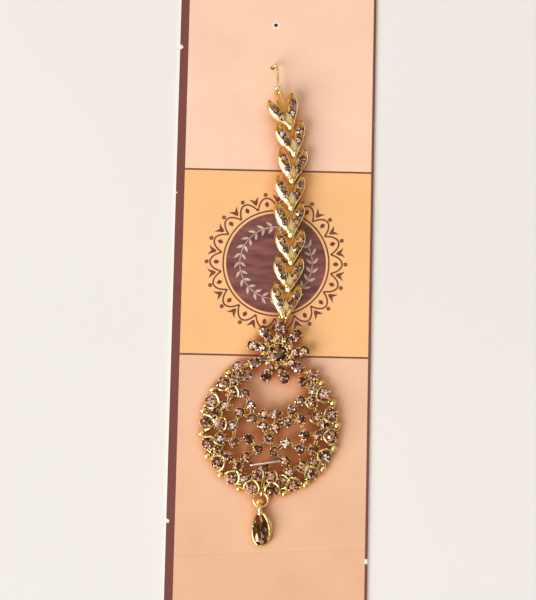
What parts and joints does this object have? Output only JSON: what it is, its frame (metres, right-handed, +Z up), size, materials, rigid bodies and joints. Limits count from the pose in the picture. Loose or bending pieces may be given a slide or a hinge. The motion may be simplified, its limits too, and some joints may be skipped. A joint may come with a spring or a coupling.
{
  "type": "bridal head chain on a display card",
  "caption": "Gilt head chain with a hair hook, a chain of V-shaped leaf links, a stone flower, a pierced round pendant and a pear drop, tied flat to a stiff printed display card.",
  "frame": {"origin": "the middle of the card's underside", "axes": "+Z up out of the card through the jewel, +Y to the card's top edge, where the hair hook is, +X to the right"},
  "size_m": [0.058, 0.2, 0.0067],
  "materials": {
    "gold": "polished bright gilt plating",
    "topaz": "foil-backed cut glass, smoky brown",
    "silver_wire": "bright drawn wire",
    "card": "satin printed board"
  },
  "bodies": {
    "root": {"display_card": "card", "tie_wire": "silver_wire", "hair_hook": "gold", "hook_ring": "gold", "leaf_link_1": "gold", "leaf_link_2": "gold", "leaf_link_3": "gold", "leaf_link_4": "gold", "leaf_link_5": "gold", "leaf_link_6": "gold", "leaf_link_7": "gold", "leaf_link_8": "gold", "flower": "gold", "flower_stone": "topaz", "crescent": "gold", "drop_ring": "gold", "drop_setting": "gold", "drop_stone": "topaz"}
  },
  "joints": []
}
